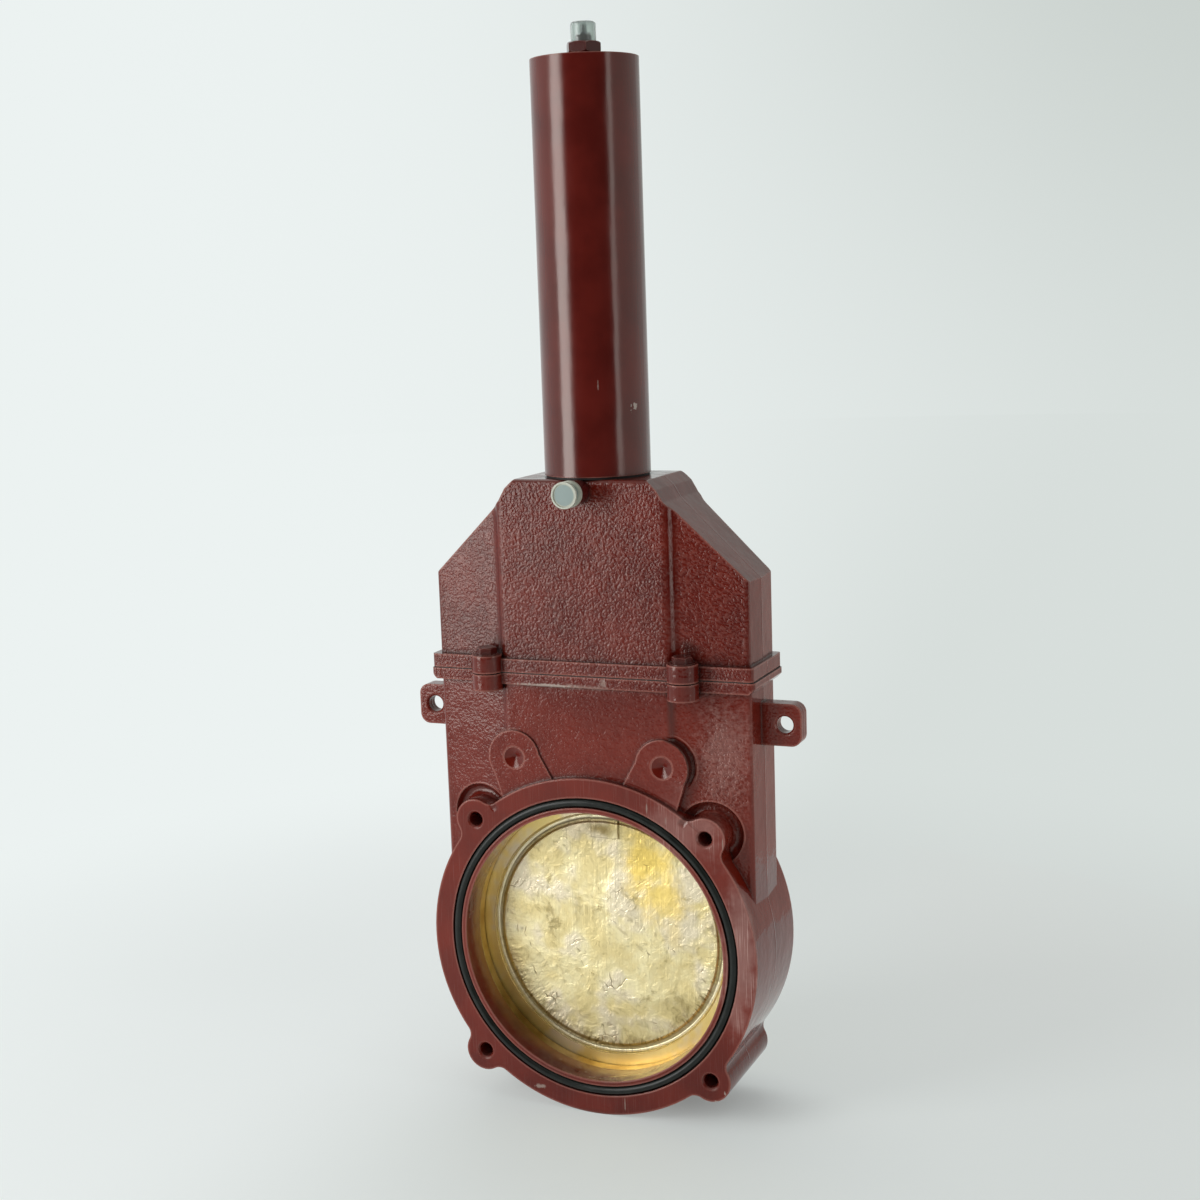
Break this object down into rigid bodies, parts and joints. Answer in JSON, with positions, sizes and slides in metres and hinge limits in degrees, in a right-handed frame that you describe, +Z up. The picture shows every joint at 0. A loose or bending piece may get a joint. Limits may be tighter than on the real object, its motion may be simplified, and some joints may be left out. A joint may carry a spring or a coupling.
{
  "type": "tanker gate valve",
  "caption": "Flanged knife gate valve in two bolted castings, with a bronze gate lifted by an upright hydraulic cylinder.",
  "frame": {"origin": "centre of the bore on the rear flange face", "axes": "Y along the bore with the rear flange facing +Y, +Z up the cylinder, +X to the right seen from the front"},
  "size_m": [0.297, 0.111, 0.7701],
  "materials": {
    "painted_iron": "semi-gloss primer red over sand cast iron",
    "painted_steel": "gloss primer red on smooth steel",
    "painted_plug": "primer red, dark in the socket",
    "rubber": "satin black",
    "gate_bronze": "cast and dull, with a machined rim",
    "seat_bronze": "turned, dull",
    "rod_chrome": "ground and plated",
    "steel": "turned steel",
    "cap_plastic": "pale, slightly see-through moulded plastic"
  },
  "bodies": {
    "valve": {"lower_casting": "painted_iron", "bonnet": "painted_iron", "joint_gasket": "rubber", "front_seat": "seat_bronze", "rear_seat": "seat_bronze", "front_face_seal": "rubber", "rear_face_seal": "rubber", "front_left_plug": "painted_plug", "front_right_plug": "painted_plug", "rear_left_plug": "painted_plug", "rear_right_plug": "painted_plug", "foot_gasket": "rubber", "cylinder_tube": "painted_steel", "cylinder_base": "steel", "rod_seal": "rubber", "rod_wiper": "rubber", "cylinder_head": "painted_steel", "head_seal": "rubber", "base_seal": "rubber", "top_fitting": "painted_steel", "fitting_nipple": "steel", "dust_cap": "cap_plastic", "port_nipple": "painted_steel", "port_plug": "cap_plastic"},
    "gate_and_rod": {"gate": "gate_bronze", "piston_rod": "rod_chrome", "rod_nut": "steel", "piston": "steel", "piston_seal": "rubber", "piston_ring": "cap_plastic", "piston_nut": "steel"}
  },
  "joints": [
    {"name": "gate_slide", "type": "slide", "parent": "valve", "child": "gate_and_rod", "axis": [0, 0, 1], "range_m": [0, 0.205]}
  ]
}
